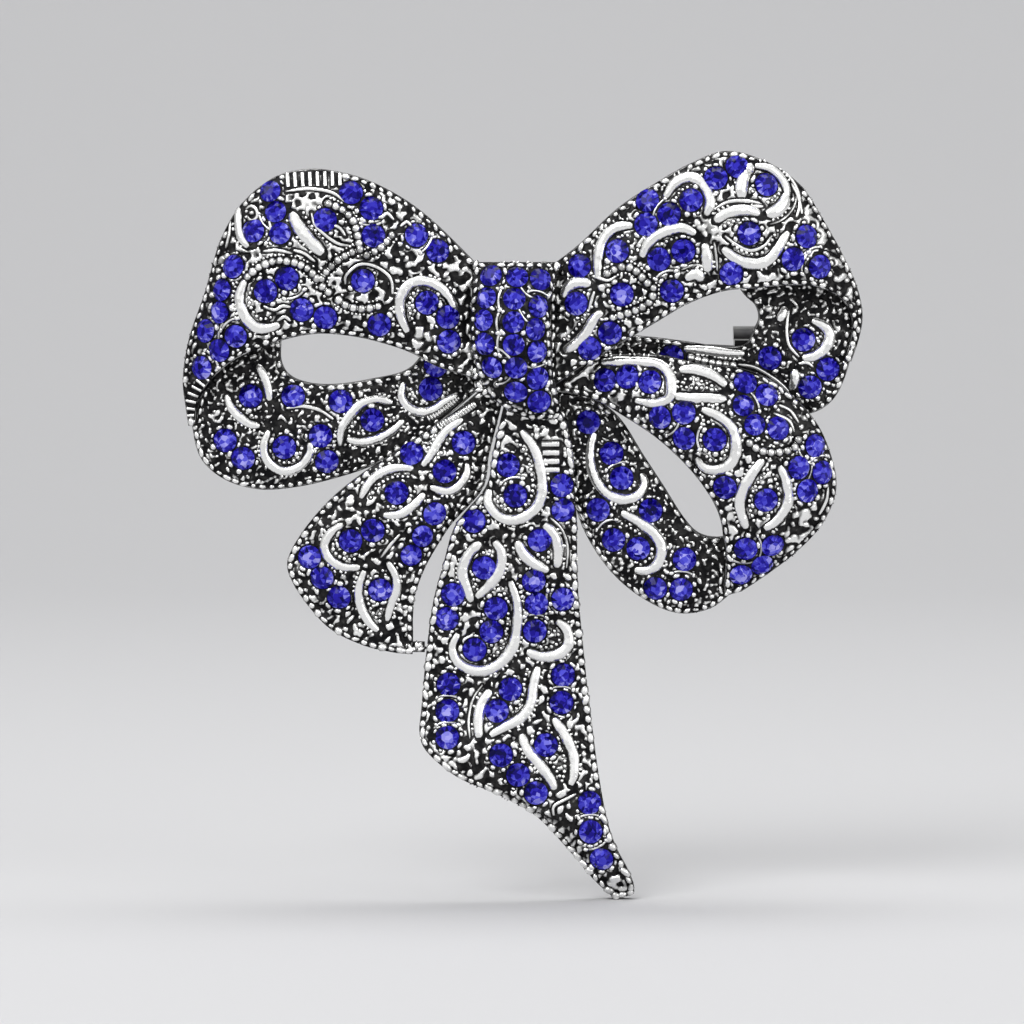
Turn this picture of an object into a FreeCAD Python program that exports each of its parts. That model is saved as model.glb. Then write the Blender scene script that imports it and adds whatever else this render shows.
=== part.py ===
import FreeCAD, Part
import os
from math import cos, radians, sin

# Ribbon-bow brooch.  Millimetres.  +Z is up as worn, +X the viewer's right, the front faces -Y.
# The origin lies on the pin stem's axis, straight behind the knot's centre line.

# --- driving dimensions -------------------------------------------------------------------
stem_to_back = 4.7        # from the stem's axis to the flat back of the castings
lining_height = 1.4       # rear ribbons, measured forward from the flat back
sheet = 1.25              # thickness of the front ribbons and the tails
layer_gap = 0.1           # free space between one ribbon layer and the next
wrap_gap = 0.25           # free space between the front ribbons and the knot's wrap

knot_left = -3.4          # where the left ribbons butt on the knot's core
knot_right = 2.9          # where the right ribbons butt on it
knot_bottom = -3.5        # where the tails butt on it
knot_top = 7.4
core_in_wrap = 0.6        # how far the knot's core runs up into its wrap

tie_start = -9.9          # the cast bar between the tails, along x
tie_end = -8.3
tie_z = -26.5
tie_height = 0.9
tie_set_back = 0.25       # behind the tail's front
tie_thickness = 0.9

stone_radius = 0.93
stone_girdle = 0.4        # height of the stone's straight wall
stone_crown = 0.42        # height of its sloping crown
stone_table = 0.55        # radius of its flat top
stone_stands = 0.12       # how far the girdle's top stands out of the metal
seat_clearance = 0.03     # between a stone and the wall of its seat
seat_reach = 2.0          # length of the cutter, from the seat's floor out into the air
overcut = 1.0             # how far other cutters run past what they cut

stem_radius = 0.45
stem_taper_start = 17.6   # x where the stem thins for the catch
stem_neck_radius = 0.30   # where its sharp point begins
stem_point_length = 3.0
stem_tip_radius = 0.08
stem_past_catch = 1.3     # how far the point reaches past the catch

hinge_x = -5.5
eye_radius = 1.3
eye_thickness = 1.04
rivet_radius = 0.5
rivet_head_radius = 0.85
rivet_head = 0.35
rivet_clearance = 0.05    # rivet in the stem's eye
ear_clearance = 0.02      # rivet in the bracket's ears
side_clearance = 0.08     # between the eye and each ear
ear_thickness = 0.65
ear_radius = 1.15
bracket_base = 0.7
bracket_flange = 0.45     # base plate beyond the ears, each way along x
bracket_lip = 0.45        # base plate beyond the ears, each way along z

catch_x = 20.9            # middle of the catch
catch_length = 2.6
catch_radius = 2.1
catch_groove_radius = 1.62
catch_lip = 0.4           # thickness of the lips that keep the rotor in
catch_lip_radius = 1.05
catch_mouth = 120.0       # degrees, open towards the back
catch_foot_width = 2.0
catch_flange = 0.4        # base plate beyond the foot, along x
catch_flange_height = 0.6
catch_flange_below = 2.0  # base plate's reach below the stem's axis
catch_flange_above = 0.5
rotor_clearance = 0.07
rotor_bore_radius = 0.62
rotor_slot = 1.15
rotor_tab_lead = 45.0     # degrees between the slot and the thumb tab
rotor_tab_reach = 2.75    # tab's end, from the axis
rotor_tab_thickness = 0.6

# --- levels worked out from them ----------------------------------------------------------
back_y = -stem_to_back
middle_level = lining_height + layer_gap + sheet
top_level = middle_level + layer_gap + sheet
wrap_level = top_level + wrap_gap
far = 60.0                # longer than the whole brooch


def vec(x, y, z):
    return FreeCAD.Vector(x, y, z)


def box(x0, x1, y0, y1, z0, z1):
    return Part.makeBox(x1 - x0, y1 - y0, z1 - z0, vec(x0, y0, z0))


# --- ribbons ------------------------------------------------------------------------------
# A ribbon is given by ribs that cross it: the x and z of its two ends, then how far the
# surface stands above its layer at the first end, half way and the second end.

def eased(ribs, parts=4):
    # more ribs between the given ones, on a smooth curve through each of their values
    result = []
    last = len(ribs) - 1
    for i in range(last):
        p0, p1, p2, p3 = ribs[max(i - 1, 0)], ribs[i], ribs[i + 1], ribs[min(i + 2, last)]
        for k in range(parts):
            t = k / parts
            a = (2 * t ** 3 - 3 * t ** 2 + 1, t ** 3 - 2 * t ** 2 + t)
            b = (3 * t ** 2 - 2 * t ** 3, t ** 3 - t ** 2)
            result.append([
                a[0] * q1 + a[1] * (q2 - q0) / 2 + b[0] * q2 + b[1] * (q3 - q1) / 2
                for q0, q1, q2, q3 in zip(p0, p1, p2, p3)])
    result.append(list(ribs[last]))
    return result


def ribbon_surface(ribs, level, steps=6):
    grid = []
    for xa, za, xb, zb, rise_a, rise_mid, rise_b in eased(ribs):
        row = []
        for i in range(steps + 1):
            t = i / steps
            rise = (1 - t) * (1 - 2 * t) * rise_a + 4 * t * (1 - t) * rise_mid + t * (2 * t - 1) * rise_b
            row.append(vec(xa + (xb - xa) * t, back_y - level - rise, za + (zb - za) * t))
        grid.append(row)
    surface = Part.BSplineSurface()
    surface.interpolate(grid)
    return surface


def ribbon_sheet(surface):
    # front ribbons and tails: an even thickness behind the surface
    return as_solid(surface.toShape().extrude(vec(0, sheet, 0)))


def down_to(surface, floor_y):
    # everything from the surface back to a flat floor
    thick = as_solid(surface.toShape().extrude(vec(0, far, 0)))
    return thick.cut(box(-far, far, floor_y, floor_y + 2 * far, -far, far)).Solids[0]


def as_solid(shape):
    solid = shape.Solids[0]
    if solid.Volume < 0:
        solid.reverse()
    return solid


left_front_ribs = [
    (knot_left, 7.8, knot_left, -2.3, 0.0, 0.0, 0.0),
    (-6.9, 11.3, -6.9, -1.25, 0.2, 0.8, 0.3),
    (-9.6, 13.5, -9.7, 0.2, 0.5, 1.4, 0.7),
    (-12.4, 15.1, -12.6, 1.15, 0.8, 1.9, 1.0),
    (-15.2, 16.1, -15.0, 1.65, 0.9, 2.2, 1.3),
    (-18.4, 16.5, -17.6, 1.85, 0.7, 2.2, 1.4),
    (-21.6, 15.8, -20.2, 1.45, 0.2, 1.9, 1.3),
    (-24.6, 13.4, -22.8, 0.6, -0.4, 1.4, 1.0),
    (-26.6, 10.0, -25.0, -0.4, -1.0, 0.8, 0.6),
    (-28.0, 5.4, -26.6, -1.6, -1.5, -0.1, 0.0),
    (-29.4, 1.4, -27.8, -2.9, -1.8, -1.0, -0.8),
    (-30.0, -2.2, -28.5, -4.1, -2.0, -1.6, -1.5),
    (-29.8, -4.6, -28.8, -5.4, -2.0, -1.9, -1.9),
    (-29.5, -6.6, -28.8, -6.4, -2.0, -2.0, -2.0),
]
left_rear_ribs = [
    (knot_left, -3.3, knot_left, 2.4, 0.0, 0.0, 0.0),
    (-6.5, -6.0, -6.9, 2.0, 0.0, 0.0, 0.0),
    (-10.0, -8.6, -9.6, -1.4, 0.0, 0.0, 0.0),
    (-13.2, -10.3, -13.2, -2.45, 0.0, 0.2, 0.1),
    (-16.2, -11.3, -16.2, -2.9, 0.0, 0.5, 0.2),
    (-19.6, -12.1, -18.6, -2.8, 0.1, 0.8, 0.3),
    (-23.1, -12.35, -20.4, -2.1, 0.2, 1.0, 0.3),
    (-26.2, -11.5, -21.2, -0.7, 0.1, 1.0, 0.3),
    (-28.4, -9.6, -21.2, 1.6, 0.0, 0.8, 0.2),
    (-29.2, -6.6, -21.6, 4.6, 0.1, 0.4, 0.0),
    (-29.4, -2.4, -22.4, 7.8, 0.1, 0.1, 0.0),
    (-27.8, 3.6, -23.4, 10.6, 0.0, 0.0, 0.0),
]
right_upper_front_ribs = [
    (knot_right, 7.7, knot_right, -3.2, 0.0, 0.0, 0.0),
    (5.6, 9.8, 5.6, -1.3, 0.2, 0.8, 0.3),
    (9.0, 13.0, 9.2, 0.9, 0.5, 1.5, 0.8),
    (12.4, 15.25, 12.4, 2.85, 0.7, 2.0, 1.2),
    (15.6, 17.05, 15.3, 4.55, 0.8, 2.3, 1.5),
    (18.8, 18.1, 18.4, 5.65, 0.7, 2.3, 1.6),
    (22.4, 17.1, 21.4, 5.9, 0.2, 1.9, 1.5),
    (25.4, 15.0, 24.2, 6.15, -0.4, 1.3, 1.1),
    (27.5, 11.8, 26.7, 6.0, -1.0, 0.5, 0.5),
    (29.2, 8.8, 28.4, 5.3, -1.5, -0.4, -0.3),
    (30.5, 5.9, 29.5, 4.3, -1.8, -1.2, -1.1),
    (31.0, 3.4, 30.0, 2.9, -2.0, -1.7, -1.7),
    (30.7, 1.3, 29.9, 1.2, -2.0, -2.0, -2.0),
    (30.0, -0.8, 29.4, -0.7, -2.0, -2.0, -2.0),
]
right_upper_rear_ribs = [
    (knot_right, -1.7, knot_right, 1.4, 0.0, 0.0, 0.0),
    (7.2, -2.6, 7.0, 1.6, 0.0, 0.0, 0.0),
    (11.4, -3.1, 11.4, 1.4, 0.0, 0.1, 0.0),
    (15.5, -3.7, 15.1, 0.95, 0.0, 0.2, 0.1),
    (19.6, -4.3, 18.4, 0.5, 0.0, 0.2, 0.2),
    (23.4, -5.1, 20.5, 0.7, 0.0, 0.3, 0.2),
    (26.4, -5.5, 21.2, 1.9, 0.0, 0.6, 0.3),
    (28.6, -4.0, 21.7, 3.0, 0.0, 0.7, 0.3),
    (29.9, -0.8, 21.4, 4.2, 0.1, 0.5, 0.2),
    (30.4, 2.6, 20.3, 5.3, 0.1, 0.2, 0.0),
    (29.7, 6.7, 19.3, 7.2, 0.0, 0.0, 0.0),
    (27.9, 10.1, 19.8, 10.3, 0.0, 0.0, 0.0),
]
right_lower_front_ribs = [
    (knot_right, -0.6, knot_right, -3.4, 0.0, 0.0, 0.0),
    (7.0, -0.2, 6.6, -4.05, 0.1, 0.2, 0.1),
    (10.2, -0.1, 9.5, -5.6, 0.8, 1.2, 0.7),
    (13.2, -0.2, 12.3, -7.4, 1.4, 2.3, 1.4),
    (16.6, -1.0, 14.6, -9.4, 1.5, 3.0, 1.9),
    (19.8, -1.3, 16.2, -11.2, 1.2, 3.1, 2.0),
    (22.6, -2.3, 17.3, -12.8, 0.9, 3.1, 1.9),
    (24.9, -4.0, 18.0, -14.2, 0.7, 2.9, 1.8),
    (26.9, -6.3, 18.35, -15.4, 0.3, 2.5, 1.6),
    (28.2, -9.2, 18.5, -16.5, -0.2, 2.1, 1.4),
    (28.7, -12.2, 18.75, -17.6, -0.5, 1.6, 1.1),
    (27.6, -15.2, 18.75, -18.9, -0.6, 1.0, 0.7),
    (25.4, -17.7, 18.65, -20.2, -0.6, 0.3, 0.1),
    (22.6, -19.9, 18.65, -21.2, -0.6, -0.3, -0.4),
    (20.2, -21.5, 18.7, -21.9, -0.6, -0.6, -0.6),
]
right_lower_rear_ribs = [
    (knot_right, -3.45, knot_right, -1.9, 0.0, 0.0, 0.0),
    (3.9, -6.0, 6.4, -3.8, 0.0, 0.0, 0.0),
    (4.5, -9.6, 9.2, -5.9, 0.0, 0.1, 0.0),
    (5.0, -13.0, 11.4, -9.3, 0.1, 0.6, 0.1),
    (6.2, -16.4, 13.3, -12.2, 0.2, 0.9, 0.2),
    (8.4, -19.7, 14.8, -14.6, 0.2, 1.1, 0.3),
    (11.2, -22.1, 16.2, -16.2, 0.2, 1.0, 0.3),
    (14.4, -23.5, 17.8, -16.7, 0.1, 0.8, 0.2),
    (17.4, -23.1, 19.4, -16.4, 0.0, 0.5, 0.1),
    (19.7, -21.4, 20.7, -15.3, 0.0, 0.2, 0.0),
    (22.4, -19.5, 21.8, -13.7, 0.0, 0.0, 0.0),
    (25.2, -17.3, 22.7, -11.9, 0.0, 0.0, 0.0),
    (27.2, -14.9, 23.4, -10.0, 0.0, 0.0, 0.0),
    (28.2, -12.2, 24.0, -8.2, 0.0, 0.0, 0.0),
]
left_tail_ribs = [
    (knot_left, knot_bottom, -1.1, knot_bottom, 0.0, 0.0, 0.0),
    (-5.6, -5.3, -1.7, -6.0, 0.0, 0.2, 0.0),
    (-8.6, -7.4, -2.5, -9.1, 0.1, 0.4, -0.1),
    (-11.6, -9.3, -3.1, -12.2, 0.3, 0.8, -0.1),
    (-14.4, -11.2, -5.8, -15.3, 0.5, 1.3, -0.1),
    (-16.9, -13.3, -7.2, -17.4, 0.5, 1.5, 0.3),
    (-19.2, -16.0, -8.3, -19.4, 0.3, 1.2, 0.5),
    (-20.6, -18.6, -9.1, -21.6, 0.0, 0.7, 0.2),
    (-20.2, -20.6, -9.35, -23.6, -0.2, 0.3, 0.0),
    (-18.6, -23.0, -9.35, -25.2, -0.3, 0.1, 0.0),
    (-16.6, -25.0, -9.35, -26.2, -0.2, 0.1, 0.1),
    (-13.6, -26.4, -9.35, -26.8, 0.0, 0.2, 0.2),
    (-10.8, -27.0, -9.4, -27.1, 0.2, 0.2, 0.2),
]
centre_tail_ribs = [
    (-0.9, knot_bottom, 2.7, knot_bottom, 0.0, 0.0, 0.0),
    (-1.5, -6.0, 4.3, -6.0, 0.0, 0.0, 0.0),
    (-2.2, -9.1, 5.0, -9.1, 0.0, 0.4, 0.0),
    (-2.8, -12.0, 5.15, -12.1, 0.0, 0.6, -0.1),
    (-5.5, -15.4, 5.4, -15.4, -0.1, 0.5, -0.3),
    (-6.6, -18.9, 5.4, -18.6, -0.3, 0.2, -0.6),
    (-7.5, -22.2, 5.55, -22.2, -0.6, -0.3, -0.9),
    (-8.0, -25.6, 5.9, -25.8, -0.9, -0.7, -1.0),
    (-8.35, -29.0, 6.25, -29.3, -0.9, -0.7, -0.7),
    (-8.6, -32.0, 6.65, -32.6, -0.5, -0.3, -0.2),
    (-8.75, -34.2, 7.1, -36.2, -0.1, 0.4, 0.3),
    (-8.0, -35.9, 7.5, -38.8, 0.1, 0.8, 0.6),
    (-5.3, -38.1, 7.9, -41.0, 0.2, 1.0, 0.7),
    (-1.8, -39.6, 8.4, -43.0, 0.2, 1.0, 0.7),
    (1.6, -41.5, 9.1, -44.8, 0.1, 0.8, 0.6),
    (4.4, -44.4, 9.9, -46.3, -0.1, 0.4, 0.3),
    (7.0, -47.5, 10.5, -47.8, -0.4, -0.1, -0.1),
    (8.9, -49.2, 10.5, -48.7, -0.6, -0.5, -0.5),
]
wrap_ribs = [
    (-3.9, 8.2, 3.9, 8.2, 0.3, 1.0, 0.3),
    (-3.85, 7.0, 3.55, 7.0, 0.8, 1.9, 0.8),
    (-4.05, 5.0, 3.05, 5.0, 1.2, 2.7, 1.2),
    (-4.2, 2.8, 2.95, 2.8, 1.4, 3.1, 1.4),
    (-4.05, 0.6, 3.05, 0.6, 1.3, 3.0, 1.3),
    (-3.6, -1.2, 3.15, -1.2, 1.1, 2.6, 1.1),
    (-3.0, -2.8, 3.4, -2.8, 0.8, 2.0, 0.9),
    (-1.8, -4.3, 3.75, -4.2, 0.5, 1.4, 0.7),
    (-0.2, -5.3, 3.9, -5.2, 0.3, 0.9, 0.4),
    (1.2, -5.85, 3.6, -5.85, 0.2, 0.5, 0.2),
]

# --- stones: the x and z of each centre ----------------------------------------------------

left_front_stones = [
    (-22.0, 14.5), (-14.8, 14.4), (-13.0, 13.0), (-21.5, 12.7), (-21.1, 10.8), (-23.5, 11.0),
    (-17.1, 12.0), (-12.8, 10.6), (-25.3, 7.8), (-22.4, 5.65), (-20.5, 6.8), (-13.75, 6.6),
    (-26.35, 5.7), (-26.55, 3.7), (-19.2, 4.0), (-17.1, 3.3), (-12.3, 2.65), (-27.85, 2.0),
    (-25.1, 1.6), (-26.6, 0.3), (-28.2, -1.3), (-9.0, 10.6), (-7.1, 9.2), (-8.05, 4.6),
    (-6.2, 3.3), (-6.1, 1.1),
]
left_rear_stones = [
    (-23.9, -3.9), (-20.1, -3.95), (-15.85, -4.4), (-13.0, -6.1), (-26.2, -7.9), (-24.6, -9.5),
    (-20.9, -8.5), (-17.65, -7.5), (-17.1, -9.8), (-7.75, -3.3), (-7.3, -1.2),
]
right_upper_front_stones = [
    (5.6, 7.85), (5.3, 4.5), (8.95, 9.2), (9.35, 5.35), (8.3, 1.9), (6.5, 0.5), (11.65, 13.7),
    (11.5, 11.6), (13.55, 12.5), (15.5, 13.75), (12.65, 8.5), (14.8, 9.25), (13.8, 5.7),
    (17.7, 15.7), (19.6, 16.7), (22.2, 15.1), (20.65, 10.8), (19.1, 7.25), (25.8, 10.5),
    (24.6, 8.5), (27.0, 7.8),
]
right_upper_rear_stones = [
    (13.9, -0.4), (25.7, 1.15), (22.7, -0.5), (27.9, -1.5), (26.3, -3.1),
]
right_lower_front_stones = [
    (7.9, -2.4), (9.9, -2.1), (11.9, -2.5), (12.8, -5.65), (14.9, -5.2), (14.95, -7.5),
    (17.65, -7.6), (20.4, -2.6), (22.3, -3.7), (20.2, -4.6), (21.2, -6.3), (23.3, -6.65),
    (26.7, -8.3), (25.2, -10.2), (27.35, -10.7), (26.0, -12.3), (18.6, -11.9), (22.25, -13.05),
    (20.5, -17.5), (22.9, -17.2), (22.0, -19.0), (20.1, -19.9),
]
right_lower_rear_stones = [
    (6.4, -6.3), (8.5, -9.1), (9.4, -11.3), (7.3, -14.15), (12.0, -14.2), (8.7, -16.85),
    (10.9, -17.6), (15.05, -18.6), (12.45, -21.2), (14.75, -21.3),
]
left_tail_stones = [
    (-9.45, -9.0), (-4.8, -8.05), (-6.5, -10.6), (-10.8, -12.5), (-7.4, -14.4), (-8.5, -16.4),
    (-9.5, -18.1), (-12.9, -15.85), (-14.9, -16.8), (-18.6, -18.3), (-17.5, -20.15),
    (-16.0, -21.95), (-12.3, -21.25),
]
centre_tail_stones = [
    (-0.8, -10.0), (-0.15, -12.7), (-3.85, -15.0), (4.0, -11.8), (4.1, -14.0), (2.0, -16.7),
    (-2.95, -19.2), (1.5, -20.4), (1.75, -22.5), (4.1, -22.1), (-5.75, -21.65), (-6.3, -23.85),
    (-1.9, -22.9), (-2.3, -25.0), (-3.8, -26.65), (1.6, -24.95), (-6.15, -29.8),
    (-6.25, -32.15), (-6.25, -34.5), (-0.6, -30.2), (-1.8, -32.15), (4.15, -28.95),
    (4.0, -31.4), (2.6, -35.15), (-1.45, -36.05), (0.1, -37.8), (1.7, -39.4), (6.5, -40.3),
    (6.6, -42.9), (7.6, -45.4),
]
knot_stones = [
    (-2.3, 7.0), (-2.7, 5.05), (-2.95, 3.1), (-2.85, 1.0), (-2.2, -1.1), (0.0, 6.9), (-0.25, 5.0),
    (-0.33, 2.95), (-0.3, 0.95), (-0.1, -1.1), (-0.1, -3.3), (2.05, 6.7), (1.85, 4.3),
    (1.6, 2.3), (1.75, 0.3), (1.8, -2.1), (1.95, -4.2),
]


def seat_place(surface, x, z):
    # where a line through (x, z) along Y meets the surface, turned to stand square on it
    line = Part.Line(vec(x, 0, z), vec(x, -1, z))
    hits, _ = line.intersectCS(surface)
    point = vec(hits[0].X, hits[0].Y, hits[0].Z)
    u, v = surface.parameter(point)
    normal = surface.normal(u, v)
    if normal.y > 0:
        normal = normal.negative()
    return FreeCAD.Placement(point, FreeCAD.Rotation(vec(0, 0, 1), normal))


def stone(place):
    low = stone_stands - stone_girdle
    wire = Part.makePolygon([
        vec(0, 0, low), vec(stone_radius, 0, low), vec(stone_radius, 0, stone_stands),
        vec(stone_table, 0, stone_stands + stone_crown), vec(0, 0, stone_stands + stone_crown),
        vec(0, 0, low)])
    solid = as_solid(Part.Face(wire).revolve(vec(0, 0, 0), vec(0, 0, 1), 360))
    solid.Placement = place
    return solid


def seat(place):
    low = stone_stands - stone_girdle
    solid = Part.makeCylinder(stone_radius + seat_clearance, seat_reach, vec(0, 0, low))
    solid.Placement = place
    return solid


def with_seats(casting, places):
    cut = casting.cut(Part.makeCompound([seat(place) for place in places]))
    return max(cut.Solids, key=lambda solid: solid.Volume)


def places_on(surface, centres):
    return [seat_place(surface, x, z) for x, z in centres]


def loop(front_ribs, front_level, rear_ribs, front_centres, rear_centres):
    # the front ribbon turns over at its outer end and runs back to the knot behind itself
    front = ribbon_surface(front_ribs, front_level)
    rear = ribbon_surface(rear_ribs, lining_height)
    casting = ribbon_sheet(front).fuse(down_to(rear, back_y)).Solids[0]
    front_places = places_on(front, front_centres)
    rear_places = places_on(rear, rear_centres)
    casting = with_seats(casting, front_places + rear_places)
    return casting, [stone(p) for p in front_places], [stone(p) for p in rear_places]


def tail(ribs, level, centres, extra=None):
    surface = ribbon_surface(ribs, level)
    places = places_on(surface, centres)
    casting = ribbon_sheet(surface)
    if extra:
        casting = casting.fuse(extra).Solids[0]
    return with_seats(casting, places), [stone(p) for p in places]


def knot():
    surface = ribbon_surface(wrap_ribs, wrap_level)
    under = back_y - wrap_level
    wrap = down_to(surface, under)
    core = box(knot_left, knot_right, under - core_in_wrap, back_y, knot_bottom, knot_top)
    casting = wrap.fuse(core).Solids[0]
    places = places_on(surface, knot_stones)
    return with_seats(casting, places), [stone(p) for p in places]


def tail_tie():
    # a small cast bar that steadies the short tail against the centre tail
    front = back_y - middle_level + tie_set_back
    return box(tie_start, tie_end, front, front + tie_thickness,
               tie_z - tie_height / 2, tie_z + tie_height / 2)


# --- pin, hinge and catch -------------------------------------------------------------------

half_eye = eye_thickness / 2
ear_inner = half_eye + side_clearance
ear_outer = ear_inner + ear_thickness
catch_start = catch_x - catch_length / 2
catch_end = catch_x + catch_length / 2


def upright(radius, x, z0, z1):
    return Part.makeCylinder(radius, z1 - z0, vec(x, 0, z0), vec(0, 0, 1))


def along(radius, x0, x1):
    return Part.makeCylinder(radius, x1 - x0, vec(x0, 0, 0), vec(1, 0, 0))


def hinge_bracket():
    base_top = back_y + bracket_base
    half_x = ear_radius + bracket_flange
    half_z = ear_outer + bracket_lip
    bracket = box(hinge_x - half_x, hinge_x + half_x, back_y, base_top, -half_z, half_z)
    for z0, z1 in ((-ear_outer, -ear_inner), (ear_inner, ear_outer)):
        ear = box(hinge_x - ear_radius, hinge_x + ear_radius, back_y, 0, z0, z1)
        bracket = bracket.fuse(ear).fuse(upright(ear_radius, hinge_x, z0, z1))
    bore = upright(rivet_radius + ear_clearance, hinge_x, -far, far)
    return bracket.removeSplitter().cut(bore).Solids[0]


def hinge_rivet():
    shank = upright(rivet_radius, hinge_x, -ear_outer - rivet_head, ear_outer + rivet_head)
    low = upright(rivet_head_radius, hinge_x, -ear_outer - rivet_head, -ear_outer)
    high = upright(rivet_head_radius, hinge_x, ear_outer, ear_outer + rivet_head)
    return shank.fuse(low).fuse(high).removeSplitter().Solids[0]


def pin_stem():
    point_end = catch_end + stem_past_catch
    point_start = point_end - stem_point_length
    wire = Part.makePolygon([
        vec(hinge_x, 0, 0), vec(hinge_x, 0, stem_radius), vec(stem_taper_start, 0, stem_radius),
        vec(point_start, 0, stem_neck_radius), vec(point_end, 0, stem_tip_radius),
        vec(point_end, 0, 0), vec(hinge_x, 0, 0)])
    needle = as_solid(Part.Face(wire).revolve(vec(0, 0, 0), vec(1, 0, 0), 360))
    eye = upright(eye_radius, hinge_x, -half_eye, half_eye)
    bore = upright(rivet_radius + rivet_clearance, hinge_x, -far, far)
    return needle.fuse(eye).cut(bore).Solids[0]


def wedge(x0, x1, spread, steps=4):
    # a slice about the stem's axis that opens straight back, spread in degrees
    corners = [vec(x0, 0, 0)]
    for step in range(steps + 1):
        angle = radians(spread * (step / steps - 0.5))
        corners.append(vec(x0, far * cos(angle), far * sin(angle)))
    corners.append(corners[0])
    return as_solid(Part.Face(Part.makePolygon(corners)).extrude(vec(x1 - x0, 0, 0)))


def catch_housing():
    ring = along(catch_radius, catch_start, catch_end)
    half = catch_foot_width / 2
    foot = box(catch_start, catch_end, back_y, 0, -half, half)
    flange = box(catch_start - catch_flange, catch_end + catch_flange, back_y,
                 back_y + catch_flange_height, -catch_flange_below, catch_flange_above)
    groove = along(catch_groove_radius, catch_start + catch_lip, catch_end - catch_lip)
    bore = along(catch_lip_radius, catch_start - overcut, catch_end + overcut)
    mouth = wedge(catch_start - overcut, catch_end + overcut, catch_mouth)
    return ring.fuse(foot).fuse(flange).removeSplitter().cut(groove).cut(bore).cut(mouth).Solids[0]


def catch_rotor():
    start = catch_start + catch_lip + rotor_clearance
    end = catch_end - catch_lip - rotor_clearance
    drum = along(catch_groove_radius - rotor_clearance, start, end)
    half = rotor_tab_thickness / 2
    tab = box(start, end, 0, rotor_tab_reach, -half, half)
    tab.rotate(vec(0, 0, 0), vec(1, 0, 0), -rotor_tab_lead)
    slot = box(start - overcut, end + overcut, 0, far, -rotor_slot / 2, rotor_slot / 2)
    bore = along(rotor_bore_radius, start - overcut, end + overcut)
    rotor = drum.fuse(tab).cut(bore).cut(slot)
    return max(rotor.Solids, key=lambda solid: solid.Volume)


# --- writing the nodes -----------------------------------------------------------------------

def write(name, shapes):
    whole = shapes if isinstance(shapes, list) else [shapes]
    result = Part.makeCompound(whole) if len(whole) > 1 else whole[0]
    result.exportStep("parts/" + name + ".step")
    valid = all(solid.isValid() for solid in whole)
    extent = result.BoundBox
    print("%-28s solids %3d  volume %8.2f  valid %s  x %.2f..%.2f y %.2f..%.2f z %.2f..%.2f" % (
        name, len(whole), sum(s.Volume for s in whole), valid, extent.XMin, extent.XMax,
        extent.YMin, extent.YMax, extent.ZMin, extent.ZMax))


os.makedirs("parts", exist_ok=True)

casting, front_stones, rear_stones = loop(
    left_front_ribs, top_level, left_rear_ribs, left_front_stones, left_rear_stones)
write("left_loop", casting)
write("left_loop_front_stones", front_stones)
write("left_loop_rear_stones", rear_stones)

casting, front_stones, rear_stones = loop(
    right_upper_front_ribs, top_level, right_upper_rear_ribs,
    right_upper_front_stones, right_upper_rear_stones)
write("right_upper_loop", casting)
write("right_upper_front_stones", front_stones)
write("right_upper_rear_stones", rear_stones)

casting, front_stones, rear_stones = loop(
    right_lower_front_ribs, middle_level, right_lower_rear_ribs,
    right_lower_front_stones, right_lower_rear_stones)
write("right_lower_loop", casting)
write("right_lower_front_stones", front_stones)
write("right_lower_rear_stones", rear_stones)

casting, stones = tail(left_tail_ribs, middle_level, left_tail_stones, tail_tie())
write("left_tail", casting)
write("left_tail_stones", stones)

casting, stones = tail(centre_tail_ribs, top_level, centre_tail_stones)
write("centre_tail", casting)
write("centre_tail_stones", stones)

casting, stones = knot()
write("knot", casting)
write("knot_stones", stones)

write("hinge_bracket", hinge_bracket())
write("hinge_rivet", hinge_rivet())
write("pin_stem", pin_stem())
write("catch_housing", catch_housing())
write("catch_rotor", catch_rotor())
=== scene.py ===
import bpy
import bmesh
import math
import numpy as np
import random
from mathutils import Matrix, Vector
from mathutils.bvhtree import BVHTree


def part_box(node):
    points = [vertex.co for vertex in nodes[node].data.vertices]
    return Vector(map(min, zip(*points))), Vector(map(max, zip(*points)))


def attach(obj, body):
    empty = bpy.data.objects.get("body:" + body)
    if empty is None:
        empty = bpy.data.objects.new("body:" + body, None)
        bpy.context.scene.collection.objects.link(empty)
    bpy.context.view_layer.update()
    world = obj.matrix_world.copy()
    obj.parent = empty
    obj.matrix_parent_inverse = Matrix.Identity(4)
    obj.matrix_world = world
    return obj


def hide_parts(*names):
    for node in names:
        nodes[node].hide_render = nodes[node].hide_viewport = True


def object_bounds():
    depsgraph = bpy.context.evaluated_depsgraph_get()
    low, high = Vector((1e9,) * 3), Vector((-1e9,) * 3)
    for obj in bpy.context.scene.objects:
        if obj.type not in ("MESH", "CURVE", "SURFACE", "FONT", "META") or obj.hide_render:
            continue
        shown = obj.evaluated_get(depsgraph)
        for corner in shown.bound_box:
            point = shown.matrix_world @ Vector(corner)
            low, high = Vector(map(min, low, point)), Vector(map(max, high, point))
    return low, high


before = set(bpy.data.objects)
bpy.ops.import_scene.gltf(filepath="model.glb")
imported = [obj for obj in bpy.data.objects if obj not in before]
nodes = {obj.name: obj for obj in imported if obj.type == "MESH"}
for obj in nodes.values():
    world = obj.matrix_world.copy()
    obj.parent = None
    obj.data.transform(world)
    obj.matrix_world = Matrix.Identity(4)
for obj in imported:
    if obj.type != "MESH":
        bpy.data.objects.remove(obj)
cadBox = [list(corner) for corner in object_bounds()]
mm = 0.001
dice = random.Random(11)
print("frame loaded:", len(nodes), "nodes")


def newMaterial(name):
    material = bpy.data.materials.new(name)
    material.use_nodes = True
    tree = material.node_tree
    return material, tree, tree.nodes["Principled BSDF"]


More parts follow.
